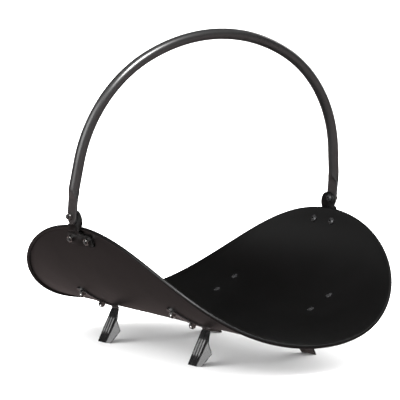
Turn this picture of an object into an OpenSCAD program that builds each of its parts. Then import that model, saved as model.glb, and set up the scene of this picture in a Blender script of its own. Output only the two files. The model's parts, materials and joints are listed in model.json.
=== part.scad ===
// Firewood log rack: an oval steel sheet bent into a trough, with a rolled
// rim, a folding tubular carry handle and four bolted, pressed-steel legs.
// Origin: middle of the rack at floor level. X runs across the raised wings,
// Y along the trough, Z up.

/* [Overall] */
// Length of the rack along the trough, over the rolled rim
rack_len = 480; // [440:5:520]
// Height from the floor to the top of the handle
rack_h = 400; // [380:5:430]

/* [Tray] */
// Thickness of the steel sheet
sheet_t = 1.2; // [1:0.1:1.6]
// Height of the sheet's middle surface above the floor at its lowest line
belly_z = 38; // [34:1:42]
// Bend radius of the nearly flat middle of the trough
belly_r = 268; // [250:2:290]
// Distance along the sheet from the lowest line to the end of that bend
belly_half = 60; // [52:4:64]
// Bend radius of the raised wings
side_r = 176; // [170:1:190]
// Distance along the sheet from the lowest line to the tip of a wing
blank_half = 244; // [240:4:248]
// Roundness of the oval blank: 2 is an ellipse, more is squarer
blank_power = 2.04; // [2:0.02:2.2]
// Diameter of the rolled rim
rim_d = 4.6; // [3.6:0.2:5]

/* [Handle] */
// Outer diameter of the handle tube
tube_d = 13.5; // [12:0.5:14.5]
// Wall thickness of the handle tube
tube_wall = 1.2; // [1:0.1:1.6]
// Lean of the standing handle away from upright, in degrees
handle_lean = 6.65; // [0:0.05:10]
// Height of the handle's pivot above the floor
pivot_z = 177.4; // [176:0.2:179]
// Bend radius of the handle's crown
crown_r = 223.5; // [215:0.5:230]
// Half angle of the crown's bend, in degrees
crown_half = 28; // [26:0.5:30]
// Bend radius of the handle's shoulders
shoulder_r = 167.5; // [160:0.5:172]
// Outward slope of the handle's straight legs, in degrees
flare = 8.5; // [7:0.5:9]
// Height above the pivot where each tube starts to flatten
flat_start = 34; // [32:1:38]
// Width of a flattened tube end
flat_w = 19; // [17:0.5:20]
// Thickness of a flattened tube end
flat_t = 3.2; // [2.8:0.1:3.6]

/* [Handle brackets] */
// Thickness of the bracket steel
bracket_t = 2; // [1.6:0.1:2.2]
// Width of the bracket's foot on the wing
bracket_w = 52; // [50:1:58]
// Distance between the two bracket bolts
bracket_pitch = 36.4; // [34:0.2:38]
// Distance along the sheet from the lowest line to the bracket bolts
bracket_s = 229; // [227:0.5:231]
// Width of the neck that steps over the rim
neck_w = 20; // [16:1:24]
// Radius of the round ear that carries the pivot
ear_r = 13.5; // [12.5:0.5:14.5]

/* [Legs] */
// Thickness of the leg steel
leg_t = 2; // [1.6:0.1:2.4]
// Distance of each leg's bolt line from the middle of the trough
leg_y = 100; // [90:1:110]
// Width of the strap that is bolted under the sheet
strap_w = 16; // [15:0.5:18]
// Distance along the sheet from the lowest line to a leg's lower bolt
lower_bolt_s = 90.2; // [88:0.2:92]
// Distance along the sheet from the lowest line to a leg's upper bolt
upper_bolt_s = 122.3; // [120:0.2:126]
// Distance along the sheet from the lowest line to the strap's bend
bend_s = 70; // [68:0.5:73]
// Outward slope of a leg below the bend, in degrees
leg_lean = 20; // [17:0.5:22]
// Angle by which a leg's side wing is folded in, in degrees
wing_fold = 30; // [20:1:35]
// Radius of the ribs pressed into a leg
rib_r = 1.6; // [1.4:0.1:1.8]

/* [Fasteners] */
// Diameter of every bolt
bolt_d = 5; // [4.5:0.1:5.2]
// Diameter of the round bolt heads
head_d = 9; // [8:0.5:10]
// Height of the round bolt heads
head_h = 2.6; // [2:0.1:3]
// Width of the locking nuts across their flats
nut_af = 8; // [8:0.1:9]
// Height of the locking nuts with their round collars
nut_h = 5; // [4.6:0.1:5.4]

/* [Hidden] */
$fn = 72;

powder_black = [0.13, 0.125, 0.125];
handle_black = [0.17, 0.17, 0.17];
leg_black = [0.2, 0.2, 0.21];
head_black = [0.1, 0.1, 0.1];
zinc = [0.62, 0.63, 0.65];

bolt_r = bolt_d / 2;
hole_r = bolt_r + 0.2;        // clearance hole in sheet and brackets
pivot_hole_r = bolt_r + 0.06; // running fit of the handle on its bolt
slip = 0.1;                   // side gap beside each flattened tube end
seat_gap = 0.08;              // lets a flat head seat in the curved sheet
big = 700;                    // longer than the rack in every direction

function unit(v) = v / norm(v);
function reverse(list) = [for (i = [len(list) - 1:-1:0]) list[i]];
function mix(a, b, f) = a + (b - a) * f;

// ---- the bent sheet, followed by its arc length s from the lowest line ----
belly_deg = belly_half / belly_r * 180 / PI;
belly_c = [0, belly_z + belly_r];
side_c = [(belly_r - side_r) * sin(belly_deg),
          belly_c[1] - (belly_r - side_r) * cos(belly_deg)];

function slope(s) = s <= belly_half
    ? s / belly_r * 180 / PI
    : belly_deg + (s - belly_half) / side_r * 180 / PI;
// Point in the X-Z plane at arc length s, a distance off below the sheet
function on_bend(s, off = 0) = s <= belly_half
    ? belly_c + (belly_r + off) * [sin(slope(s)), -cos(slope(s))]
    : side_c + (side_r + off) * [sin(slope(s)), -cos(slope(s))];
// Half length of the oval blank at arc length s
blank_half_y = rack_len / 2 - rim_d / 2;
function oval_y(s) = blank_half_y
    * pow(max(0, 1 - pow(s / blank_half, blank_power)), 1 / blank_power);

// Places children on the right wing at s, with +Z out of the sheet's back
module on_wing(s, y = 0) {
    p = on_bend(s);
    translate([p[0], y, p[1]]) rotate([0, 180 - slope(s), 0]) children();
}

// The sheet and every band on it turn at the same stations along s, so that
// their faces meet exactly
station = 4;
function bend_side(s0, s1, off) = [for (s = [s0:station:s1])
    let (p = on_bend(abs(s), off)) [sign(s + 0.001) * p[0], p[1]]];

// Strip of steel that follows the sheet, from a to b below its middle surface
module bent_strip(a, b, s0, s1, w) {
    points = concat(bend_side(s0, s1, b), reverse(bend_side(s0, s1, a)));
    translate([0, w / 2, 0]) rotate([90, 0, 0]) linear_extrude(height = w) polygon(points);
}

// Extrudes a Y-Z outline along X
module along_x(from_x = -big / 2, to_x = big / 2) {
    translate([from_x, 0, 0]) rotate([90, 0, 90])
        linear_extrude(height = to_x - from_x) children();
}

module hole_on_wing(s, y) {
    on_wing(s, y) cylinder(r = hole_r, h = 20, center = true);
}

module turned() { rotate([0, 0, 180]) children(); }
module left_side() { mirror([1, 0, 0]) children(); }

// ---- tray ----
outline_steps = 60;
// Arc lengths bunched towards the tip, where the outline turns fastest
outline_s = [for (i = [0:outline_steps]) blank_half * sin(90 * i / outline_steps)];
oval_outline = concat(
    [[-blank_half_y, 0], [blank_half_y, 0]],
    [for (s = outline_s) [oval_y(s), on_bend(s)[1]]],
    reverse([for (s = outline_s) if (s < blank_half) [-oval_y(s), on_bend(s)[1]]]));

module log_tray() {
    half = sheet_t / 2;
    color(powder_black) difference() {
        intersection() {
            bent_strip(-half, half, -blank_half, blank_half, rack_len);
            along_x() polygon(oval_outline);
        }
        for (side = [0, 1]) mirror([side, 0, 0]) {
            for (y = [-1, 1] * leg_y, s = [lower_bolt_s, upper_bolt_s]) hole_on_wing(s, y);
            for (y = [-1, 1] * bracket_pitch / 2) hole_on_wing(bracket_s, y);
        }
    }
}

// ---- rolled rim: a bead swept round the oval edge ----
rim_stations = 144;
rim_sides = 10;
rim_off = rim_d / 2 - sheet_t / 2 + 0.1;
function signed_pow(v, e) = sign(v) * pow(abs(v), e);
function rim_point(a) =
    let (s = blank_half * signed_pow(cos(a), 2 / blank_power),
         p = on_bend(abs(s), rim_off))
    [sign(s) * p[0], blank_half_y * signed_pow(sin(a), 2 / blank_power), p[1]];
function rim_normal(a) =
    let (s = blank_half * signed_pow(cos(a), 2 / blank_power), t = slope(abs(s)))
    [sign(s) * sin(t), 0, -cos(t)];
function rim_ring(i) =
    let (step = 360 / rim_stations,
         a = (i + 0.5) * step,
         n = rim_normal(a),
         along = unit(rim_point(a + step / 4) - rim_point(a - step / 4)),
         out = unit(cross(along, n)))
    [for (k = [0:rim_sides - 1])
        rim_point(a) + rim_d / 2 * (cos(360 * k / rim_sides) * n
                                  + sin(360 * k / rim_sides) * out)];

module rolled_rim() {
    points = [for (i = [0:rim_stations - 1]) each rim_ring(i)];
    function id(i, k) = (i % rim_stations) * rim_sides + k % rim_sides;
    faces = [for (i = [0:rim_stations - 1], k = [0:rim_sides - 1])
        [id(i, k), id(i + 1, k), id(i + 1, k + 1), id(i, k + 1)]];
    color(powder_black) polyhedron(points, faces);
}

// ---- handle, drawn upright about its pivot axis, then leant and raised ----
handle_rise = (rack_h - pivot_z) / cos(handle_lean) - tube_d / 2;
crown_c = [0, handle_rise - crown_r];
shoulder_c = crown_c + (crown_r - shoulder_r) * [sin(crown_half), cos(crown_half)];
shoulder_end = shoulder_c + shoulder_r * [cos(flare), sin(flare)];
// Middle of each flattened tube end, measured from the rack's middle plane
flat_x = round(10 * (shoulder_end[0] + (shoulder_end[1] - flat_start) * tan(flare))) / 10;
flat_len = 20; // height to which an end is fully flat, past the corners of the ear
slit_t = 0.6; // gap left between the walls of a flattened end
arc_step = 4;
blend_steps = 4;

function arc_points(c, r, from_deg, to_deg) =
    let (n = ceil((to_deg - from_deg) / arc_step))
    [for (i = [0:n]) c + r * [cos(mix(from_deg, to_deg, i / n)), sin(mix(from_deg, to_deg, i / n))]];
// Bent part of the tube's centre line, from the right shoulder to the crown
right_arch = concat(
    arc_points(shoulder_c, shoulder_r, flare, 90 - crown_half),
    [for (p = arc_points(crown_c, crown_r, 90 - crown_half, 90))
        if (p[0] > 0.01 && p[0] < shoulder_c[0] + shoulder_r * sin(crown_half) - 0.01) p]);
function both_sides(right) = concat(right, [[0, handle_rise]],
    reverse([for (p = right) [-p[0], p[1]]]));

// How far the tube is pressed flat at height h above the pivot: 1 is flat
function pressed(h) =
    let (f = max(0, min(1, (h - flat_len) / (flat_start - flat_len)))) 1 - f * f * (3 - 2 * f);
function square_round(a) = [cos(a), sin(a)] / max(abs(cos(a)), abs(sin(a)));
function tube_section(h, a, r, t, w) = mix([cos(a), sin(a)] * r,
    let (q = square_round(a)) [q[0] * t / 2, q[1] * w / 2], pressed(h));

// Sweeps a section round a path in the X-Z plane. The section's first
// coordinate lies in that plane, across the path, and its second along Y
function path_dir(p, i) = unit(p[min(i + 1, len(p) - 1)] - p[max(i - 1, 0)]);
module sweep(path, sections) {
    sides = len(sections[0]);
    points = [for (i = [0:len(path) - 1])
        let (d = path_dir(path, i), across = [d[1], -d[0]])
        for (q = sections[i])
            [path[i][0] + q[0] * across[0], q[1], path[i][1] + q[0] * across[1]]];
    walls = [for (i = [0:len(path) - 2], k = [0:sides - 1])
        let (a = i * sides + k, b = i * sides + (k + 1) % sides)
        [a, a + sides, b + sides, b]];
    last = (len(path) - 1) * sides;
    polyhedron(points, concat([[for (k = [0:sides - 1]) k]], walls,
                              [[for (k = [sides - 1:-1:0]) last + k]]));
}

// Swept tube surface of radius r, pressed to t by w at its ends, which reach
// down to height low
module tube_body(r, t, w, low, sides) {
    ends = concat([[flat_x, low]],
        [for (i = [0:blend_steps]) [flat_x, mix(flat_len, flat_start, i / blend_steps)]]);
    path = both_sides(concat(ends, right_arch));
    sweep(path, [for (p = path) [for (k = [0:sides - 1])
        tube_section(p[1], 360 * k / sides, r, t, w)]]);
}

// What is cut away to leave a round tip on a flattened end
module tip_cutter() {
    tip_r = flat_w / 2 + 0.4;
    difference() {
        translate([-flat_t, -flat_w, -2 * flat_w]) cube([2 * flat_t, 2 * flat_w, 2 * flat_w]);
        rotate([0, 90, 0]) cylinder(r = tip_r, h = 4 * flat_t, center = true);
    }
}

module carry_handle() {
    color(handle_black)
    translate([0, 0, pivot_z]) rotate([handle_lean, 0, 0]) difference() {
        tube_body(tube_d / 2, flat_t, flat_w, -flat_w, 16);
        tube_body(tube_d / 2 - tube_wall, slit_t, flat_w - 2 * tube_wall, -2 * flat_w, 16);
        for (x = [-1, 1] * flat_x) translate([x, 0, 0]) tip_cutter();
        rotate([0, 90, 0]) cylinder(r = pivot_hole_r, h = big, center = true);
    }
}

// ---- handle brackets ----
ear_x = flat_x - flat_t / 2 - slip - bracket_t / 2; // middle of the ear's steel
plate_low_s = 212;
plate_top_s = 236;
knee_drop = 4;      // from the wing's tip down to the knee of the neck

foot_drop = 9;      // from the bracket bolts down to the foot's lower edge
foot_inset = 1.5;   // from the top of the bent strip to the foot's upper edge
foot_corner = 4;
neck_y = -3;        // the neck is set to one side of the bolts
neck_drop = 9.3;    // top of the neck, below the pivot
neck_corner = 3;
ear_y = 4;          // the ear is set to the other side
ear_drop = 5.5;     // centre of the ear, below the pivot

// Bent strip of steel along a path of X-Z points, half its thickness each way
function path_normal(p, i) =
    let (d = unit(p[i + 1] - p[i])) [-d[1], d[0]];
function mitre(p, i) = i == 0 ? path_normal(p, 0)
    : i == len(p) - 1 ? path_normal(p, i - 1)
    : let (a = path_normal(p, i - 1), b = path_normal(p, i)) (a + b) / (1 + a * b);
function strip(p, half) = concat(
    [for (i = [0:len(p) - 1]) p[i] + half * mitre(p, i)],
    [for (i = [len(p) - 1:-1:0]) p[i] - half * mitre(p, i)]);

module rounded_plate(w, h, r) {
    translate([-w / 2 + r, 0]) square([w - 2 * r, h]);
    translate([-w / 2, r]) square([w, h - 2 * r]);
    for (x = [-1, 1] * (w / 2 - r), y = [r, h - r]) translate([x, y]) circle(r = r);
}

// Front view of the bracket, in Y and Z
module bracket_outline() {
    foot_z = on_bend(bracket_s - foot_drop)[1];
    foot_top = on_bend(plate_top_s)[1] - foot_inset;
    neck_low = foot_top - foot_corner;
    translate([0, foot_z]) rounded_plate(bracket_w, foot_top - foot_z, foot_corner);
    translate([neck_y, neck_low])
        rounded_plate(neck_w, pivot_z - neck_drop - neck_low, neck_corner);
    translate([ear_y, pivot_z - ear_drop]) circle(r = ear_r);
}

module handle_bracket() {
    off = sheet_t / 2;
    knee = [ear_x, on_bend(blank_half)[1] - knee_drop];
    path = [on_bend(plate_top_s, off + bracket_t / 2), knee, [ear_x, pivot_z + ear_r]];
    color(powder_black) difference() {
        intersection() {
            union() {
                bent_strip(off, off + bracket_t, plate_low_s, plate_top_s, bracket_w);
                translate([0, neck_w, 0]) rotate([90, 0, 0])
                    linear_extrude(height = 2 * neck_w) polygon(strip(path, bracket_t / 2));
            }
            along_x() bracket_outline();
        }
        for (y = [-1, 1] * bracket_pitch / 2) hole_on_wing(bracket_s, y);
        translate([ear_x, 0, pivot_z]) rotate([0, 90, 0])
            cylinder(r = hole_r, h = 10, center = true);
    }
}
module handle_bracket_left() { turned() handle_bracket(); }
module handle_bracket_right() { handle_bracket(); }

// ---- fasteners, standing on Z = 0 with the shank along +Z ----
head_edge = 1;      // thickness of a domed head at its rim
socket_af = 3;      // hexagonal socket across its flats
socket_depth = 1.6;
nut_collar = 1.3;   // height of the round collar above the hexagon
nut_land = 0.1;     // flat ring left between a nut's chamfer and its corners
// Radius of the domed head's round top
dome_r = (pow(head_d / 2, 2) + pow(head_h - head_edge, 2)) / (2 * (head_h - head_edge));

module bolt(length) {
    color(head_black) {
        cylinder(r = bolt_r, h = length);
        difference() {
            rotate_extrude() intersection() {
                translate([0, -head_h]) square([head_d / 2, head_h]);
                translate([0, dome_r - head_h]) circle(r = dome_r);
            }
            translate([0, 0, -head_h - 1])
                cylinder(d = socket_af / cos(30), h = socket_depth + 1, $fn = 6);
        }
    }
}

module locknut() {
    flat_r = nut_af / 2 + nut_land;
    hex_h = nut_h - nut_collar;
    color(zinc) difference() {
        union() {
            intersection() {
                cylinder(d = nut_af / cos(30), h = hex_h, $fn = 6);
                cylinder(r1 = flat_r, r2 = flat_r + nut_h, h = nut_h);
                cylinder(r1 = flat_r + hex_h, r2 = flat_r, h = hex_h);
            }
            cylinder(d = nut_af - 1, h = nut_h);
        }
        translate([0, 0, -1]) cylinder(r = bolt_r + 0.02, h = nut_h + 2);
    }
}

thread_out = 1; // bolt showing past its nut
module wing_bolt(s, y, grip) {
    on_wing(s, y) translate([0, 0, -sheet_t / 2 - seat_gap])
        bolt(sheet_t + seat_gap + grip + nut_h + thread_out);
}
module wing_nut(s, y, grip) {
    on_wing(s, y) translate([0, 0, sheet_t / 2 + grip]) rotate([0, 0, 15]) locknut();
}

module bracket_bolts() {
    for (y = [-1, 1] * bracket_pitch / 2) wing_bolt(bracket_s, y, bracket_t);
}
module bracket_nuts() {
    for (y = [-1, 1] * bracket_pitch / 2) wing_nut(bracket_s, y, bracket_t);
}
module bracket_bolts_left() { left_side() bracket_bolts(); }
module bracket_bolts_right() { bracket_bolts(); }
module bracket_nuts_left() { left_side() bracket_nuts(); }
module bracket_nuts_right() { bracket_nuts(); }

pivot_stack = bracket_t + slip + flat_t + slip;
module at_pivot(x) { translate([x, 0, pivot_z]) rotate([0, 90, 0]) children(); }
module pivot_bolt() {
    at_pivot(ear_x - bracket_t / 2) bolt(pivot_stack + nut_h + thread_out);
}
module pivot_nut() { at_pivot(ear_x - bracket_t / 2 + pivot_stack) locknut(); }
module pivot_bolt_left() { left_side() pivot_bolt(); }
module pivot_bolt_right() { pivot_bolt(); }
module pivot_nut_left() { left_side() pivot_nut(); }
module pivot_nut_right() { pivot_nut(); }

// ---- legs: a curved strap, a bend, a ribbed web and a folded side wing ----
// Leg blank below the bend: [distance down the slope, distance along Y]
strap_low_s = 68;
strap_top_s = 132;
neck_half = 7;
blade_end = 54; // past the floor, where the leg is cut level
web_edge = [[10, -9], [blade_end, -16]];
fold_line = [[15, 10.5], [blade_end, -0.2]];
wing_tip = [28.6, 19.1];
wing_foot = [blade_end, 5];
rib_from = 17;
rib_to = 37;
rib_pitch = 5.2;

module web_outline() {
    polygon([[-1, neck_half], [-1, -neck_half], web_edge[0], web_edge[1],
             fold_line[1], fold_line[0], [4, neck_half + 0.8]]);
}

module side_wing() {
    dir = fold_line[1] - fold_line[0];
    translate([fold_line[0][0], fold_line[0][1], 0])
        rotate(a = -wing_fold, v = [dir[0], dir[1], 0])
            translate([-fold_line[0][0], -fold_line[0][1], -leg_t])
                linear_extrude(height = leg_t)
                    polygon([fold_line[0], wing_tip, wing_foot, fold_line[1]]);
}

module ribs() {
    lean = atan2(web_edge[1][1] - web_edge[0][1], web_edge[1][0] - web_edge[0][0]);
    for (i = [0:2])
        translate([rib_from, web_edge[0][1] + 2 + rib_pitch * i, 0.7 - rib_r])
            rotate([0, 0, lean]) rotate([0, 90, 0])
                cylinder(r = rib_r, h = rib_to - rib_from, $fn = 32);
}

module leg() {
    off = sheet_t / 2;
    bend = on_bend(bend_s, off + leg_t);
    color(leg_black) difference() {
        union() {
            intersection() {
                bent_strip(off, off + leg_t, strap_low_s, strap_top_s, strap_w);
                union() {
                    on_wing(upper_bolt_s) cylinder(d = strap_w, h = 20, center = true);
                    on_wing(upper_bolt_s) translate([0, -strap_w, -10]) cube([big, 2 * strap_w, 20]);
                }
            }
            translate([bend[0], 0, bend[1]]) rotate([0, 90 - leg_lean, 0]) {
                translate([0, 0, -leg_t]) linear_extrude(height = leg_t) web_outline();
                side_wing();
                ribs();
            }
        }
        for (s = [lower_bolt_s, upper_bolt_s]) hole_on_wing(s, 0);
        translate([-big / 2, -big / 2, -big]) cube(big);
    }
}

module right_leg_place(end) { translate([0, end * leg_y, 0]) children(); }
module leg_front_right() { right_leg_place(-1) leg(); }
module leg_back_right() { right_leg_place(1) leg(); }
module leg_front_left() { turned() leg_back_right(); }
module leg_back_left() { turned() leg_front_right(); }

module leg_bolts() {
    for (s = [lower_bolt_s, upper_bolt_s]) wing_bolt(s, 0, leg_t);
}
module leg_nuts() {
    for (s = [lower_bolt_s, upper_bolt_s]) wing_nut(s, 0, leg_t);
}
module leg_bolts_front_right() { right_leg_place(-1) leg_bolts(); }
module leg_bolts_back_right() { right_leg_place(1) leg_bolts(); }
module leg_bolts_front_left() { turned() leg_bolts_back_right(); }
module leg_bolts_back_left() { turned() leg_bolts_front_right(); }
module leg_nuts_front_right() { right_leg_place(-1) leg_nuts(); }
module leg_nuts_back_right() { right_leg_place(1) leg_nuts(); }
module leg_nuts_front_left() { turned() leg_nuts_back_right(); }
module leg_nuts_back_left() { turned() leg_nuts_front_right(); }

log_tray();
rolled_rim();
carry_handle();
handle_bracket_left();
handle_bracket_right();
bracket_bolts_left();
bracket_bolts_right();
bracket_nuts_left();
bracket_nuts_right();
pivot_bolt_left();
pivot_bolt_right();
pivot_nut_left();
pivot_nut_right();
leg_front_left();
leg_back_left();
leg_front_right();
leg_back_right();
leg_bolts_front_left();
leg_bolts_back_left();
leg_bolts_front_right();
leg_bolts_back_right();
leg_nuts_front_left();
leg_nuts_back_left();
leg_nuts_front_right();
leg_nuts_back_right();
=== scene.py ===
"""Looks of the firewood log rack: powder-coated oval trough with a rolled edge,
folding tube handle, pressed-steel legs and brackets, zinc locking nuts.
Lengths are in metres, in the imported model's frame."""
import json
import math

import bmesh
import bpy
from mathutils import Matrix, Vector


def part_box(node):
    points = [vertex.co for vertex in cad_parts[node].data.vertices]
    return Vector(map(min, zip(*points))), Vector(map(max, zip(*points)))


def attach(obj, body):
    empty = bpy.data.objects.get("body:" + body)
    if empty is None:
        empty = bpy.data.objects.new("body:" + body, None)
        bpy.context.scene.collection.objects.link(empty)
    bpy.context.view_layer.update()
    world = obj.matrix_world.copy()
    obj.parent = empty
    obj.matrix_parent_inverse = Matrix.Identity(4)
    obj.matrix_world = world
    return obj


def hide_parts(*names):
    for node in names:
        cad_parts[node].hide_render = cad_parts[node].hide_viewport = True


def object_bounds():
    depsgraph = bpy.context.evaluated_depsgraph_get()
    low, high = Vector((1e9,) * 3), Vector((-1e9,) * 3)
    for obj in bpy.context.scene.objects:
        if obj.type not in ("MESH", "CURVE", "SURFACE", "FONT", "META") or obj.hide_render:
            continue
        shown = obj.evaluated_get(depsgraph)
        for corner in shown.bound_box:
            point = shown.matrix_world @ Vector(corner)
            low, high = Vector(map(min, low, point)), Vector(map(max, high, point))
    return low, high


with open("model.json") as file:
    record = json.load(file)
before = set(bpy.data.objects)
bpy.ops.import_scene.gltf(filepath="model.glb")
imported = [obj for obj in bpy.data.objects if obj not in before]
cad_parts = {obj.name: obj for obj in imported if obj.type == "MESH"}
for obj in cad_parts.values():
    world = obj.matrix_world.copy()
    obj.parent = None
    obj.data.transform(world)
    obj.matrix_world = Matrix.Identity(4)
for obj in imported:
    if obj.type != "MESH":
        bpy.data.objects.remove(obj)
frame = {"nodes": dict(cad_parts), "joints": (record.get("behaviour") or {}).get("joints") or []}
cad_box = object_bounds()
nodes = frame["nodes"]
MM = 0.001

# ---- driving sizes, the same as the model's ----
sheet_t = 1.2 * MM
belly_z = 38 * MM
belly_r = 268 * MM
belly_half = 60 * MM
side_r = 176 * MM
blank_half = 244 * MM
blank_power = 2.04
bead_r = 2.3 * MM                 # outer radius of the rolled edge
tube_r = 6.75 * MM
handle_lean = math.radians(6.65)
crown_r = 223.5 * MM
crown_half = math.radians(28)
shoulder_r = 167.5 * MM
flare = math.radians(8.5)
flat_start = 34 * MM
flat_len = 20 * MM
flat_w = 19 * MM
flat_t = 3.2 * MM
steel_t = 2 * MM                  # brackets and legs
bracket_w = 52 * MM
neck_w = 20 * MM
ear_r = 13.5 * MM
leg_y = 100 * MM
leg_lean = math.radians(20)
wing_fold = math.radians(30)
bend_s = 70 * MM

# ---- taken from the frame ----
pivot_z = frame["joints"][0]["pos_m"][2]
blank_half_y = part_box("rolled_rim")[1].y - bead_r
rack_h = cad_box[1].z

belly_angle = belly_half / belly_r
belly_c = Vector((0, 0, belly_z + belly_r))
side_c = belly_c + (belly_r - side_r) * Vector((math.sin(belly_angle), 0, -math.cos(belly_angle)))


# ---- the bent sheet, by arc length s from its lowest line ----
def slope(s):
    s = abs(s)
    return s / belly_r if s <= belly_half else belly_angle + (s - belly_half) / side_r


def back_normal(s):
    """Out of the back of the sheet at s."""
    side = math.copysign(1, s)
    return Vector((side * math.sin(slope(s)), 0, -math.cos(slope(s))))


def sheet_point(s, y=0, off=0):
    """Point at s and y, a distance off below the sheet's middle surface."""
    side = math.copysign(1, s)
    centre, radius = (belly_c, belly_r) if abs(s) <= belly_half else (side_c, side_r)
    angle = slope(s)
    x = centre.x + (radius + off) * math.sin(angle)
    return Vector((side * x, y, centre.z - (radius + off) * math.cos(angle)))


def mix(a, b, f):
    return a + (b - a) * f


def smooth(f):
    f = max(0.0, min(1.0, f))
    return f * f * (3 - 2 * f)


def signed_pow(v, e):
    return math.copysign(abs(v) ** e, v)


def bent_line(points, at):
    """Value at `at` of the straight pieces through (position, value) points."""
    for (p0, v0), (p1, v1) in zip(points, points[1:]):
        if at <= p1:
            return mix(v0, v1, max(0, (at - p0) / (p1 - p0)))
    return points[-1][1]


# ---- mesh helpers ----
SHARP = math.radians(38)
WEAR_FROM = 0.28                  # edge angles, in radians, where paint wears
WEAR_SPAN = 0.5


def mark_wear(bm):
    """Stores how exposed each vertex is: 1 on the convex edges of the metal."""
    layer = bm.verts.layers.float.new("wear")
    for vert in bm.verts:
        angle = max((e.calc_face_angle_signed(0) for e in vert.link_edges), default=0)
        vert[layer] = max(0.0, min(1.0, (angle - WEAR_FROM) / WEAR_SPAN))


def bevel_sharp(bm, width):
    bmesh.ops.recalc_face_normals(bm, faces=bm.faces[:])
    edges = [e for e in bm.edges if e.is_manifold and e.calc_face_angle(0) > SHARP]
    bmesh.ops.bevel(bm, geom=edges, offset=width, offset_type="OFFSET", segments=2,
                    profile=0.5, affect="EDGES", clamp_overlap=True)


def make_piece(name, bm, material, body, replaced, bevel=0.0, turn=False):
    """Turns the mesh into a piece that rides on a body in place of CAD nodes."""
    if bevel:
        bevel_sharp(bm, bevel)
    if turn:
        half_turn = Matrix.Rotation(math.pi, 3, "Z")
        bmesh.ops.rotate(bm, cent=(0, 0, 0), matrix=half_turn, verts=bm.verts[:])
    bmesh.ops.recalc_face_normals(bm, faces=bm.faces[:])
    mark_wear(bm)
    mesh = bpy.data.meshes.new(name)
    bm.to_mesh(mesh)
    bm.free()
    mesh.polygons.foreach_set("use_smooth", [True] * len(mesh.polygons))
    mesh.set_sharp_from_angle(angle=SHARP)
    mesh.materials.append(material)
    piece = bpy.data.objects.new(name, mesh)
    bpy.context.scene.collection.objects.link(piece)
    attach(piece, body)
    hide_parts(*replaced)


def skin(bm, rings, closed=True):
    """Quads between successive rings of points. Returns the rings of vertices."""
    made = [[bm.verts.new(p) for p in ring] for ring in rings]
    count = len(made[0])
    for low, high in zip(made, made[1:]):
        for k in range(count if closed else count - 1):
            nxt = (k + 1) % count
            bm.faces.new((low[k], low[nxt], high[nxt], high[k]))
    return made


def close_end(bm, ring, tip):
    """Fan from a ring of vertices to one point."""
    centre = bm.verts.new(tip)
    for k, vert in enumerate(ring):
        bm.faces.new((vert, ring[(k + 1) % len(ring)], centre))


# ---- tray: the sheet and the edge rolled under it, in one piece ----
TRAY_STATIONS = 216
TRAY_RINGS = 26
CURL = math.radians(285)          # how far round the edge is rolled
CURL_OUTER_STEPS = 18
CURL_INNER_STEPS = 10


def blank_point(a, rho=1.0):
    """s and y on the oval blank at angle a, rho of the way to its edge."""
    e = 2 / blank_power
    return (rho * blank_half * signed_pow(math.cos(a), e),
            rho * blank_half_y * signed_pow(math.sin(a), e))


def edge_frame(a):
    """Edge point, the back's normal and the way out across the edge, at a."""
    s, y = blank_point(a)
    small = 1e-3                  # radians either side
    before = sheet_point(*blank_point(a - small))
    after = sheet_point(*blank_point(a + small))
    along = (after - before).normalized()
    normal = back_normal(s)
    return sheet_point(s, y), normal, normal.cross(along).normalized()


def tray(material):
    half = sheet_t / 2
    centre = bead_r - half
    inner_r = bead_r - sheet_t
    angles = [2 * math.pi * (k + 0.5) / TRAY_STATIONS for k in range(TRAY_STATIONS)]
    frames = [edge_frame(a) for a in angles]

    def level(rho, off):
        return [sheet_point(*blank_point(a, rho), off) for a in angles]

    def curl(radius, phi):
        return [p + radius * math.sin(phi) * out + (centre - radius * math.cos(phi)) * n
                for p, n, out in frames]

    rhos = [i / TRAY_RINGS for i in range(1, TRAY_RINGS + 1)]
    rings = [level(rho, -half) for rho in rhos]
    rings += [curl(bead_r, CURL * i / CURL_OUTER_STEPS) for i in range(1, CURL_OUTER_STEPS + 1)]
    rings += [curl(inner_r, CURL * (1 - i / CURL_INNER_STEPS)) for i in range(CURL_INNER_STEPS)]
    rings += [level(rho, half) for rho in reversed(rhos)]
    bm = bmesh.new()
    made = skin(bm, rings)
    close_end(bm, made[0], sheet_point(0, 0, -half))
    close_end(bm, made[-1], sheet_point(0, 0, half))
    make_piece("tray_with_rolled_edge", bm, material, "root",
               ("log_tray", "rolled_rim"))


# ---- handle: a bent tube with both ends pressed flat ----
TUBE_SIDES = 40
ARC_STEP = math.radians(2)
FLAT_POWER = 5.0                  # how square a flattened section is
TIP_STEPS = 7
TIP_SWEEP = math.radians(84)      # how far the rings go round a flat end's tip
FLAT_STEPS = 5
BLEND_STEPS = 12
STRAIGHT_STEPS = 8
blend_inset = 0.35 * MM           # the round tube stands this far in from its flat end


def arc(centre, radius, start, end):
    count = math.ceil(abs(end - start) / ARC_STEP)
    return [centre + radius * Vector((math.cos(mix(start, end, i / count)),
                                      math.sin(mix(start, end, i / count))))
            for i in range(count + 1)]


def tube_section(pressed, width):
    power = mix(2.0, FLAT_POWER, pressed)
    thick = mix(tube_r, flat_t / 2, pressed)
    points = []
    for k in range(TUBE_SIDES):
        a = 2 * math.pi * (k + 0.5) / TUBE_SIDES
        points.append((thick * signed_pow(math.cos(a), 2 / power),
                       width * signed_pow(math.sin(a), 2 / power)))
    return points


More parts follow.
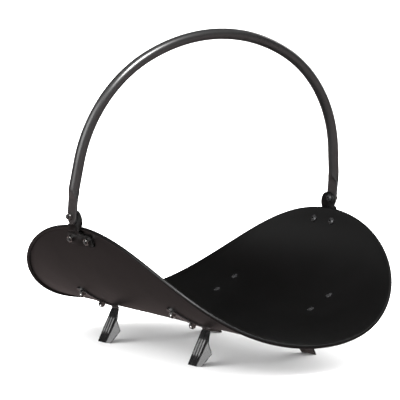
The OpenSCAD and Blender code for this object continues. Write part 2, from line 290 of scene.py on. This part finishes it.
def handle(material):
    rise = (rack_h - pivot_z) / math.cos(handle_lean) - tube_r
    crown_c = Vector((0, rise - crown_r))
    shoulder_c = crown_c + (crown_r - shoulder_r) * Vector((math.sin(crown_half), math.cos(crown_half)))
    shoulder_end = shoulder_c + shoulder_r * Vector((math.cos(flare), math.sin(flare)))
    flat_x = shoulder_end.x + (shoulder_end.y - flat_start) * math.tan(flare)
    tip_r = flat_w / 2

    side = []                     # (centre, how flat, half width), tip to crown
    for i in range(TIP_STEPS):
        a = TIP_SWEEP * (1 - i / TIP_STEPS)
        side.append((Vector((flat_x, -tip_r * math.sin(a))), 1.0, tip_r * math.cos(a)))
    for i in range(FLAT_STEPS):
        side.append((Vector((flat_x, flat_len * i / FLAT_STEPS)), 1.0, tip_r))
    for i in range(BLEND_STEPS + 1):
        h = mix(flat_len, flat_start, i / BLEND_STEPS)
        pressed = 1 - smooth(i / BLEND_STEPS)
        x = flat_x - blend_inset * (1 - pressed)
        side.append((Vector((x, h)), pressed, mix(tube_r, tip_r, pressed)))
    blend_end = side[-1][0]
    for i in range(1, STRAIGHT_STEPS):
        side.append((blend_end.lerp(shoulder_end, i / STRAIGHT_STEPS), 0.0, tube_r))
    bends = arc(shoulder_c, shoulder_r, flare, math.pi / 2 - crown_half)
    bends += arc(crown_c, crown_r, math.pi / 2 - crown_half, math.pi / 2)[1:]
    side += [(p, 0.0, tube_r) for p in bends]
    path = side + [(Vector((-p.x, p.y)), f, w) for p, f, w in reversed(side[:-1])]

    place = Matrix.Translation((0, 0, pivot_z)) @ Matrix.Rotation(handle_lean, 4, "X")
    rings = []
    for i, (p, pressed, width) in enumerate(path):
        before = path[max(i - 1, 0)][0]
        after = path[min(i + 1, len(path) - 1)][0]
        along = (after - before).normalized()
        across = Vector((along.y, -along.x))
        rings.append([place @ Vector((p.x + q * across.x, r, p.y + q * across.y))
                      for q, r in tube_section(pressed, width)])
    bm = bmesh.new()
    made = skin(bm, rings)
    bm.faces.new(made[0])
    bm.faces.new(made[-1])
    make_piece("carry_handle_tube", bm, material, "handle", ("carry_handle",))


# ---- plates that follow a bent path ----
def bent_plate(outline, stations, half, place):
    """A plate cut to an outline of (length, y) points, bent by place()."""
    bm = bmesh.new()
    bm.faces.new([bm.verts.new((length, y, 0)) for length, y in outline])
    for station in stations:
        bmesh.ops.bisect_plane(bm, geom=bm.verts[:] + bm.edges[:] + bm.faces[:],
                               plane_co=(station, 0, 0), plane_no=(1, 0, 0), dist=1e-7)
    top = bmesh.ops.extrude_face_region(bm, geom=bm.faces[:])["geom"]
    raised = {v for v in top if isinstance(v, bmesh.types.BMVert)}
    for vert in bm.verts:
        vert.co = place(vert.co.x, vert.co.y, half if vert in raised else -half)
    return bm


class BentPath:
    """A line in the X-Z plane, by length along it, with its left-hand normal."""

    def __init__(self, points):
        self.points = points
        self.lengths = [0.0]
        for a, b in zip(points, points[1:]):
            self.lengths.append(self.lengths[-1] + (b - a).length)

    def normal_at(self, i):
        a = self.points[max(i - 1, 0)]
        b = self.points[min(i + 1, len(self.points) - 1)]
        d = (b - a).normalized()
        return Vector((-d.z, 0, d.x))

    def __call__(self, length, y, off):
        i = 0
        while i < len(self.points) - 2 and self.lengths[i + 1] < length:
            i += 1
        f = (length - self.lengths[i]) / (self.lengths[i + 1] - self.lengths[i])
        p = mix(self.points[i], self.points[i + 1], f)
        n = mix(self.normal_at(i), self.normal_at(i + 1), max(0, min(1, f))).normalized()
        return p + n * off + Vector((0, y, 0))


def fillet(before, corner, after, radius, steps=6):
    """Points of a round corner between two straight runs."""
    d0 = (corner - before).normalized()
    d1 = (after - corner).normalized()
    turn = d0.angle(d1)
    reach = radius * math.tan(turn / 2)
    middle = corner + (d1 - d0).normalized() * radius / math.cos(turn / 2)
    start = (corner - d0 * reach - middle).normalized()
    end = (corner + d1 * reach - middle).normalized()
    return [middle + start.slerp(end, i / steps).normalized() * radius for i in range(steps + 1)]


def corner_points(x, y, radius, start, turn=90, steps=5):
    """Quarter round about (x, y), in (length, y), from an angle in degrees."""
    return [(x + radius * math.cos(math.radians(start + turn * i / steps)),
             y + radius * math.sin(math.radians(start + turn * i / steps)))
            for i in range(steps + 1)]


# ---- handle brackets ----
EAR_STEPS = 28
FOOT_STEPS = 8
foot_low_s = 220 * MM
foot_high_s = 236 * MM
knee_drop = 4 * MM                # from the wing's tip down to the neck's knee
foot_corner = 4 * MM
neck_y = -3 * MM                  # the neck is set to one side of the bolts
neck_drop = 9.3 * MM              # top of the neck, below the pivot
neck_corner = 3 * MM
notch_r = 2 * MM                  # round inner corners beside the neck
ear_y = 4 * MM                    # the ear is set to the other side
ear_drop = 5.5 * MM               # centre of the ear, below the pivot
knee_r = 2.5 * MM                 # bends at both ends of the step over the rim
bracket_gap = 0.02 * MM           # keeps the painted faces from fighting
bracket_bevel = 0.35 * MM


def bracket_path():
    off = (sheet_t + steel_t) / 2 + bracket_gap
    ear_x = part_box("handle_bracket_right")[1].x - steel_t / 2
    wing = [sheet_point(mix(foot_low_s, foot_high_s, i / FOOT_STEPS), 0, off)
            for i in range(FOOT_STEPS + 1)]
    knee = Vector((ear_x, 0, sheet_point(blank_half).z - knee_drop))
    top = Vector((ear_x, 0, pivot_z + 3 * ear_r))
    return BentPath(wing[:-1] + fillet(wing[-2], wing[-1], knee, knee_r)
                    + fillet(wing[-1], knee, top, knee_r) + [top])


def bracket_outline(path):
    """Outline of the right bracket as (length up the path, y)."""
    foot = foot_high_s - foot_low_s
    ear_c = length_at_height(path, pivot_z - ear_drop)
    neck_top = ear_c - (neck_drop - ear_drop)
    side = bracket_w / 2
    right, left = neck_y + neck_w / 2, neck_y - neck_w / 2
    outline = corner_points(foot_corner, side - foot_corner, foot_corner, 180, -90)
    outline += corner_points(foot - neck_corner, side - neck_corner, neck_corner, 90, -90)
    outline += corner_points(foot + notch_r, right + notch_r, notch_r, 180, 90)
    first = -math.acos((right - ear_y) / ear_r)
    last = math.pi + math.asin((ear_c - neck_top) / ear_r)
    turns = [mix(first, last, i / EAR_STEPS) for i in range(EAR_STEPS + 1)]
    outline += [(ear_c + ear_r * math.sin(a), ear_y + ear_r * math.cos(a)) for a in turns]
    outline += corner_points(neck_top - neck_corner, left + neck_corner, neck_corner, 0, -90)
    outline += corner_points(foot + notch_r, left - notch_r, notch_r, 90, 90)
    outline += corner_points(foot - neck_corner, neck_corner - side, neck_corner, 0, -90)
    outline += corner_points(foot_corner, foot_corner - side, foot_corner, 270, -90)
    return outline


def length_at_height(path, z):
    """Length along the path where its upright run reaches height z."""
    return path.lengths[-1] - (path.points[-1].z - z)


def bracket(side, material):
    path = bracket_path()
    outline = bracket_outline(path)
    stations = [length for length in path.lengths[1:-1] if length < path.lengths[-2] + 1e-6]
    bm = bent_plate(outline, stations, steel_t / 2, path)
    make_piece(f"handle_bracket_plate_{side}", bm, material, "root",
               (f"handle_bracket_{side}",), bevel=bracket_bevel, turn=side == "left")


# ---- legs ----
strap_half = 8 * MM
strap_top_s = 132 * MM
strap_step = 3 * MM
strap_end_s = bend_s + 6 * MM     # where the strap leaves the sheet for the bend
STRAP_TIP_STEPS = 8
STRAP_TIP_SWEEP = math.radians(86)
neck_half = 7 * MM
bend_r = 3 * MM
BEND_STEPS = 8
# Edges of the leg below the bend, as (distance down the slope, place across it)
blade_end = 54 * MM               # past the floor, where every leg is cut level
above_floor_t = 20 * MM
neck_side = [(-1 * MM, neck_half), (4 * MM, 7.8 * MM), (15 * MM, 10.5 * MM)]
web_side = [(-1 * MM, -neck_half), (10 * MM, -9 * MM), (blade_end, -16 * MM)]
fold_side = neck_side + [(blade_end, -0.2 * MM)]
outer_side = neck_side + [(28.6 * MM, 19.1 * MM), (blade_end, 5 * MM)]
fold_r = 3 * MM
RIBS = 3
rib_from = 10 * MM
rib_to = 39 * MM
rib_fade = 6 * MM
rib_pitch = 5.2 * MM
rib_half = 1.9 * MM
rib_high = 0.95 * MM
rib_round = 1.4                   # more makes a rib's sides hollower
rib_inset = 2.2 * MM              # first rib in from the web's corner, at rib_line_t
rib_line_t = 17 * MM
leg_bevel = 0.3 * MM
WELD = 0.002 * MM
FLOOR_HALVINGS = 24
WEB_COLUMNS = 34
WING_COLUMNS = 10
BLADE_ROWS = 44

down = Vector((math.sin(leg_lean), 0, -math.cos(leg_lean)))
blade_out = Vector((math.cos(leg_lean), 0, math.sin(leg_lean)))
blade_origin = sheet_point(bend_s, 0, sheet_t / 2 + steel_t)


def rib_height(t, u):
    """How far the pressed ribs lift the web at a place on it."""
    (corner_t, corner_u), (end_t, end_u) = web_side[1:]
    slant = (end_u - corner_u) / (end_t - corner_t)
    lift = 0.0
    for i in range(RIBS):
        middle = corner_u + rib_inset + rib_pitch * i + slant * (t - rib_line_t)
        across = abs(u - middle) / rib_half
        if across < 1:
            ends = smooth((t - rib_from) / rib_fade) * smooth((rib_to - t) / rib_fade)
            lift = rib_high * ends * math.cos(across * math.pi / 2) ** rib_round
    return lift


def blade_point(t, u, face):
    """Place on the leg below the bend: t down the slope, u across the web."""
    fold_u = bent_line(fold_side, t)
    (start_t, start_u), (end_t, end_u) = fold_side[2:]
    run = end_t - start_t
    drop = end_u - start_u
    dir_t = run / math.hypot(run, drop)
    dir_u = drop / math.hypot(run, drop)
    away = (u - fold_u) * dir_t if t > start_t else 0.0
    if away <= 0:
        lift = rib_height(t, u)
        return blade_origin + t * down + Vector((0, u, 0)) + (face + lift) * blade_out
    arc_end = fold_r * wing_fold
    turned = min(away, arc_end) / fold_r
    past = max(0, away - arc_end)
    flat = fold_r * math.sin(turned) + past * math.cos(turned)
    sunk = fold_r * (1 - math.cos(turned)) + past * math.sin(turned)
    shift = flat - away                  # the fold draws the wing in across the fold line
    t_at = t - shift * dir_u
    u_at = u + shift * dir_t
    spot = blade_origin + t_at * down + Vector((0, u_at, 0)) - sunk * blade_out
    lean_side = Vector((0, dir_t, 0)) - dir_u * down
    return spot + face * (math.cos(turned) * blade_out + math.sin(turned) * lean_side)


def column_place(t, column):
    """Distance across the web of one of the grid's columns, at t."""
    left = bent_line(web_side, t)
    fold = bent_line(fold_side, t)
    if column <= WEB_COLUMNS:
        return mix(left, fold, column / WEB_COLUMNS)
    return mix(fold, bent_line(outer_side, t), (column - WEB_COLUMNS) / WING_COLUMNS)


def floor_reach(column, face):
    """How far down the slope a column meets the floor."""
    low, high = above_floor_t, blade_end
    for _ in range(FLOOR_HALVINGS):
        middle = (low + high) / 2
        if blade_point(middle, column_place(middle, column), face).z > 0:
            low = middle
        else:
            high = middle
    return low


def strap_rows():
    """Rows of (point, normal, half width) down the strap and the bend below it,
    and how far down the blade's slope they end."""
    off = (sheet_t + steel_t) / 2 + bracket_gap
    rows = []
    for i in range(STRAP_TIP_STEPS):
        a = STRAP_TIP_SWEEP * (1 - i / STRAP_TIP_STEPS)
        s = strap_top_s - strap_half * (1 - math.sin(a))
        rows.append((sheet_point(s, 0, off), back_normal(s), strap_half * math.cos(a)))
    s = strap_top_s - strap_half
    while s > strap_end_s:
        rows.append((sheet_point(s, 0, off), back_normal(s), strap_half))
        s -= strap_step
    small = 0.1 * MM
    start = sheet_point(strap_end_s, 0, off)
    tangent = (start - sheet_point(strap_end_s + small, 0, off)).normalized()
    blade = blade_origin - blade_out * steel_t / 2
    gap = (blade - start).dot(blade_out) / tangent.dot(blade_out)
    corner = start + tangent * gap
    first_normal = Vector((-tangent.z, 0, tangent.x))
    for i, p in enumerate(fillet(start, corner, corner + down, bend_r, BEND_STEPS)):
        f = i / BEND_STEPS
        normal = Matrix.Rotation(-tangent.angle(down) * f, 3, "Y") @ first_normal
        rows.append((p, normal, mix(strap_half, neck_half, smooth(f))))
    return rows, (rows[-1][0] - blade_origin).dot(down)


def leg_face(face):
    """Grid of points over one face of a leg, top of the strap to the floor."""
    columns = WEB_COLUMNS + WING_COLUMNS
    rows, t_start = strap_rows()
    grid = []
    for p, normal, half in rows:
        row = [p + normal * face + Vector((0, mix(-half, half, min(1, k / WEB_COLUMNS)), 0))
               for k in range(columns + 1)]
        grid.append(row)
    ends = [floor_reach(k, face - steel_t / 2) for k in range(columns + 1)]
    for i in range(1, BLADE_ROWS + 1):
        row = []
        for k in range(columns + 1):
            t = mix(t_start, ends[k], i / BLADE_ROWS)
            row.append(blade_point(t, column_place(t, k), face - steel_t / 2))
        grid.append(row)
    return grid


def leg(name, material, turned):
    half = steel_t / 2
    bm = bmesh.new()
    front = skin(bm, leg_face(half), closed=False)
    back = skin(bm, leg_face(-half), closed=False)
    last = len(front[0]) - 1
    for i in range(len(front) - 1):
        for k in (0, last):
            bm.faces.new((front[i][k], front[i + 1][k], back[i + 1][k], back[i][k]))
    for row in (0, len(front) - 1):
        for k in range(last):
            bm.faces.new((front[row][k], front[row][k + 1], back[row][k + 1], back[row][k]))
    bmesh.ops.remove_doubles(bm, verts=bm.verts[:], dist=WELD)
    bmesh.ops.dissolve_degenerate(bm, edges=bm.edges[:], dist=WELD)
    at_back = name.startswith("back") != turned
    bmesh.ops.translate(bm, vec=(0, leg_y if at_back else -leg_y, 0), verts=bm.verts[:])
    make_piece(f"leg_plate_{name}", bm, material, "root", (f"leg_{name}",),
               bevel=leg_bevel, turn=turned)


# ---- materials ----
class Nodes:
    """Short form for building one material's node tree."""

    def __init__(self, name):
        self.material = bpy.data.materials.new(name)
        self.material.use_nodes = True
        self.tree = self.material.node_tree
        self.shader = self.tree.nodes["Principled BSDF"]
        self.place = self.add("ShaderNodeTexCoord").outputs["Object"]

    def add(self, kind, **settings):
        node = self.tree.nodes.new(kind)
        for key, value in settings.items():
            setattr(node, key, value)
        return node

    def link(self, source, target):
        self.tree.links.new(source, target)

    def noise(self, scale, detail, roughness=0.55):
        node = self.add("ShaderNodeTexNoise")
        node.inputs["Scale"].default_value = scale
        node.inputs["Detail"].default_value = detail
        node.inputs["Roughness"].default_value = roughness
        self.link(self.place, node.inputs["Vector"])
        return node.outputs["Fac"]

    def span(self, value, low, high, from_low=0.0, from_high=1.0):
        node = self.add("ShaderNodeMapRange")
        node.inputs["From Min"].default_value = from_low
        node.inputs["From Max"].default_value = from_high
        node.inputs["To Min"].default_value = low
        node.inputs["To Max"].default_value = high
        self.link(value, node.inputs["Value"])
        return node.outputs["Result"]

    def math(self, operation, a, b):
        node = self.add("ShaderNodeMath", operation=operation)
        self.link(a, node.inputs[0])
        if isinstance(b, (int, float)):
            node.inputs[1].default_value = b
        else:
            self.link(b, node.inputs[1])
        return node.outputs[0]

    def colours(self, factor, first, second):
        node = self.add("ShaderNodeMix", data_type="RGBA")
        self.link(factor, node.inputs["Factor"])
        for socket, value in (("A", first), ("B", second)):
            target = next(s for s in node.inputs if s.name == socket and s.type == "RGBA")
            if isinstance(value, tuple):
                target.default_value = (*value, 1)
            else:
                self.link(value, target)
        return next(s for s in node.outputs if s.type == "RGBA")

    def bump(self, height, distance, strength, below=None):
        node = self.add("ShaderNodeBump")
        node.inputs["Distance"].default_value = distance
        node.inputs["Strength"].default_value = strength
        self.link(height, node.inputs["Height"])
        if below is not None:
            self.link(below, node.inputs["Normal"])
        return node.outputs["Normal"]


def powder_coat(name, dark, light, rub, gloss, specular):
    """Satin powder coat: orange peel, cloudy sheen, paint rubbed thin on edges."""
    n = Nodes(name)
    clouds = n.noise(11, 4)
    peel = n.noise(620, 2, 0.5)
    grain = n.noise(2600, 2, 0.6)
    scuffs = n.noise(60, 6, 0.7)
    worn = n.add("ShaderNodeAttribute", attribute_name="wear").outputs["Fac"]
    patchy = n.span(scuffs, 0.0, 1.0, 0.45, 0.62)
    rubbed = n.math("MULTIPLY", worn, n.math("MULTIPLY", patchy, 0.55))
    paint = n.colours(n.span(clouds, 0, 1, 0.3, 0.7), dark, light)
    n.link(n.colours(rubbed, paint, rub), n.shader.inputs["Base Color"])
    sheen = n.math("ADD", n.span(clouds, gloss - 0.035, gloss + 0.035, 0.3, 0.7),
                   n.span(grain, -0.03, 0.03, 0.3, 0.7))
    n.link(n.math("SUBTRACT", sheen, n.math("MULTIPLY", rubbed, 0.12)),
           n.shader.inputs["Roughness"])
    surface = n.bump(peel, 0.05 * MM, 0.35)
    n.link(n.bump(grain, 0.012 * MM, 0.4, surface), n.shader.inputs["Normal"])
    n.shader.inputs["Specular IOR Level"].default_value = specular
    return n.material


def zinc_plate():
    """Bright zinc plating, a little mottled, with a fine grain."""
    n = Nodes("zinc_plate")
    mottle = n.noise(420, 4)
    marks = n.noise(2200, 3, 0.6)
    n.link(n.colours(n.span(mottle, 0, 1, 0.3, 0.7), (0.42, 0.41, 0.4), (0.62, 0.61, 0.6)),
           n.shader.inputs["Base Color"])
    n.link(n.span(mottle, 0.12, 0.22, 0.3, 0.7), n.shader.inputs["Roughness"])
    n.link(n.bump(marks, 0.02 * MM, 0.4), n.shader.inputs["Normal"])
    n.shader.inputs["Metallic"].default_value = 1.0
    return n.material


def black_oxide():
    """Blackened bolt steel: dark, fairly glossy, a little mottled."""
    n = Nodes("black_oxide")
    mottle = n.noise(500, 4)
    marks = n.noise(2600, 3, 0.6)
    n.link(n.colours(n.span(mottle, 0, 1, 0.35, 0.7), (0.02, 0.02, 0.021), (0.05, 0.05, 0.051)),
           n.shader.inputs["Base Color"])
    n.link(n.span(mottle, 0.12, 0.19, 0.3, 0.7), n.shader.inputs["Roughness"])
    n.link(n.bump(marks, 0.015 * MM, 0.4), n.shader.inputs["Normal"])
    n.shader.inputs["Metallic"].default_value = 0.7
    return n.material


def studio_floor():
    """Pale and matt. Where the rack's satin paint mirrors it, a painted reflection: a dim warm grey
    plus warm light the floor gives off itself, though it is no lamp.
    """
    n = Nodes("studio_floor")
    clouds = n.noise(3, 2)
    n.link(n.colours(clouds, (0.86, 0.86, 0.86), (0.88, 0.88, 0.88)), n.shader.inputs["Base Color"])
    n.link(n.span(clouds, 0.8, 0.9), n.shader.inputs["Roughness"])
    n.shader.inputs["Specular IOR Level"].default_value = 0.1
    # painted reflection: for glossy rays the floor is a dark warm diffuse plus an emission of its own,
    # light that no lamp casts
    dim = n.add("ShaderNodeBsdfDiffuse")
    dim.inputs["Color"].default_value = (0.02, 0.016, 0.016, 1)
    painted_reflection_glow = n.add("ShaderNodeEmission")
    painted_reflection_glow.inputs["Color"].default_value = (0.25, 0.205, 0.2, 1)
    mirrored = n.add("ShaderNodeAddShader")
    n.link(dim.outputs[0], mirrored.inputs[0])
    n.link(painted_reflection_glow.outputs[0], mirrored.inputs[1])
    choose = n.add("ShaderNodeMixShader")
    n.link(n.add("ShaderNodeLightPath").outputs["Is Glossy Ray"], choose.inputs["Fac"])
    n.link(n.shader.outputs[0], choose.inputs[1])
    n.link(mirrored.outputs[0], choose.inputs[2])
    n.link(choose.outputs[0], n.tree.nodes["Material Output"].inputs["Surface"])
    return n.material


# ---- studio ----
FLOOR_HALF = 40.0
FLOOR_CELLS = 8


def floor(material):
    bm = bmesh.new()
    marks = [mix(-FLOOR_HALF, FLOOR_HALF, i / FLOOR_CELLS) for i in range(FLOOR_CELLS + 1)]
    verts = [[bm.verts.new((x, y, 0)) for y in marks] for x in marks]
    for i in range(FLOOR_CELLS):
        for j in range(FLOOR_CELLS):
            bm.faces.new((verts[i][j], verts[i + 1][j], verts[i + 1][j + 1], verts[i][j + 1]))
    mesh = bpy.data.meshes.new("studio_floor")
    bm.to_mesh(mesh)
    bm.free()
    mesh.materials.append(material)
    piece = bpy.data.objects.new("studio_floor", mesh)
    bpy.context.scene.collection.objects.link(piece)


def aim(thing, target):
    back = thing.location - target
    thing.rotation_mode = "QUATERNION"
    thing.rotation_quaternion = back.to_track_quat("Z", "Y")


def soft_sun(name, direction, strength, spread):
    light = bpy.data.lights.new(name, "SUN")
    light.energy = strength
    light.angle = math.radians(spread)
    lamp = bpy.data.objects.new(name, light)
    lamp.location = Vector(direction)
    bpy.context.scene.collection.objects.link(lamp)
    aim(lamp, Vector((0, 0, 0)))


def soft_box(name, place, target, size, power):
    light = bpy.data.lights.new(name, "AREA")
    light.shape = "RECTANGLE"
    light.size, light.size_y = size
    light.energy = power
    lamp = bpy.data.objects.new(name, light)
    lamp.location = Vector(place)
    bpy.context.scene.collection.objects.link(lamp)
    aim(lamp, Vector(target))


def surroundings(bright, mirrored_grey):
    """A white studio all round, dimmer where glossy paint mirrors it."""
    world = bpy.data.worlds.new("studio")
    bpy.context.scene.world = world
    world.cycles.sampling_method = "NONE"
    world.use_nodes = True
    tree = world.node_tree
    white = tree.nodes["Background"]
    white.inputs["Color"].default_value = (1, 1, 1, 1)
    white.inputs["Strength"].default_value = bright
    mirrored = tree.nodes.new("ShaderNodeBackground")
    mirrored.inputs["Color"].default_value = (mirrored_grey, mirrored_grey, mirrored_grey, 1)
    rays = tree.nodes.new("ShaderNodeLightPath")
    choose = tree.nodes.new("ShaderNodeMixShader")
    tree.links.new(rays.outputs["Is Glossy Ray"], choose.inputs["Fac"])
    tree.links.new(white.outputs[0], choose.inputs[1])
    tree.links.new(mirrored.outputs[0], choose.inputs[2])
    tree.links.new(choose.outputs[0], tree.nodes["World Output"].inputs["Surface"])


VIEW_AZIMUTH = -0.6114            # radians, as are the next two
VIEW_ELEVATION = 0.1094
VIEW_ROLL = 0.0075
VIEW_DISTANCE = 3.0272
VIEW_TARGET = Vector((-0.0102, 0, 0.1866))
FOCAL_PIXELS = 2440.5
FRAME_PIXELS = 400


def camera():
    data = bpy.data.cameras.new("camera")
    data.sensor_width = 36
    data.lens = FOCAL_PIXELS / FRAME_PIXELS * data.sensor_width
    data.clip_end = 200
    cam = bpy.data.objects.new("camera", data)
    level = math.cos(VIEW_ELEVATION)
    back = Vector((math.sin(VIEW_AZIMUTH) * level, -math.cos(VIEW_AZIMUTH) * level,
                   math.sin(VIEW_ELEVATION)))
    right = (-back).cross(Vector((0, 0, 1))).normalized()
    up = right.cross(-back)
    c, s = math.cos(VIEW_ROLL), math.sin(VIEW_ROLL)
    rolled_right = c * right + s * up
    rolled_up = c * up - s * right
    turn = Matrix((rolled_right, rolled_up, back)).transposed()
    cam.matrix_world = Matrix.Translation(VIEW_TARGET + back * VIEW_DISTANCE) @ turn.to_4x4()
    bpy.context.scene.collection.objects.link(cam)
    bpy.context.scene.camera = cam


# ---- build ----
tray_paint = powder_coat("tray_powder_coat",
                         dark=(0.0007, 0.0006, 0.0006), light=(0.001, 0.0009, 0.0009),
                         rub=(0.10, 0.095, 0.095), gloss=0.4, specular=0.27)
tube_paint = powder_coat("handle_powder_coat",
                         dark=(0.005, 0.0048, 0.0049), light=(0.0075, 0.0072, 0.0073),
                         rub=(0.13, 0.13, 0.13), gloss=0.31, specular=0.85)
plate_paint = powder_coat("bracket_powder_coat",
                          dark=(0.0006, 0.0006, 0.0006), light=(0.0009, 0.0009, 0.0009),
                          rub=(0.05, 0.05, 0.05), gloss=0.42, specular=0.13)
leg_paint = powder_coat("leg_powder_coat",
                        dark=(0.006, 0.006, 0.0063), light=(0.01, 0.01, 0.0103),
                        rub=(0.2, 0.2, 0.2), gloss=0.26, specular=1.05)
zinc = zinc_plate()
oxide = black_oxide()

tray(tray_paint)
handle(tube_paint)
for hand in ("left", "right"):
    bracket(hand, plate_paint)
for end in ("front", "back"):
    leg(f"{end}_right", leg_paint, turned=False)
    leg(f"{end}_left", leg_paint, turned=True)
for node_name, node_object in nodes.items():
    if "nut" in node_name:
        node_object.material_slots[0].material = zinc
    if "bolt" in node_name:
        node_object.material_slots[0].material = oxide

floor(studio_floor())
surroundings(bright=3.1, mirrored_grey=0.01)
soft_sun("overhead_sun", direction=(-0.2, -0.35, 1.0), strength=0.5, spread=120)
soft_box("left_box", place=(-2.0, -0.3, 0.95), target=(0, 0, 0.15), size=(1.6, 1.6), power=34)
soft_box("right_box", place=(1.9, 0.6, 1.0), target=(0, 0, 0.3), size=(0.6, 1.2), power=14)
soft_box("top_box", place=(-0.4, -1.4, 2.2), target=(0, 0, 0.1), size=(0.5, 0.5), power=140)
soft_box("back_box", place=(-0.45, 1.3, 0.75), target=(0.1, -0.1, 0.15), size=(0.4, 0.4),
         power=0.55)
camera()
bpy.context.scene.view_settings.view_transform = "Standard"
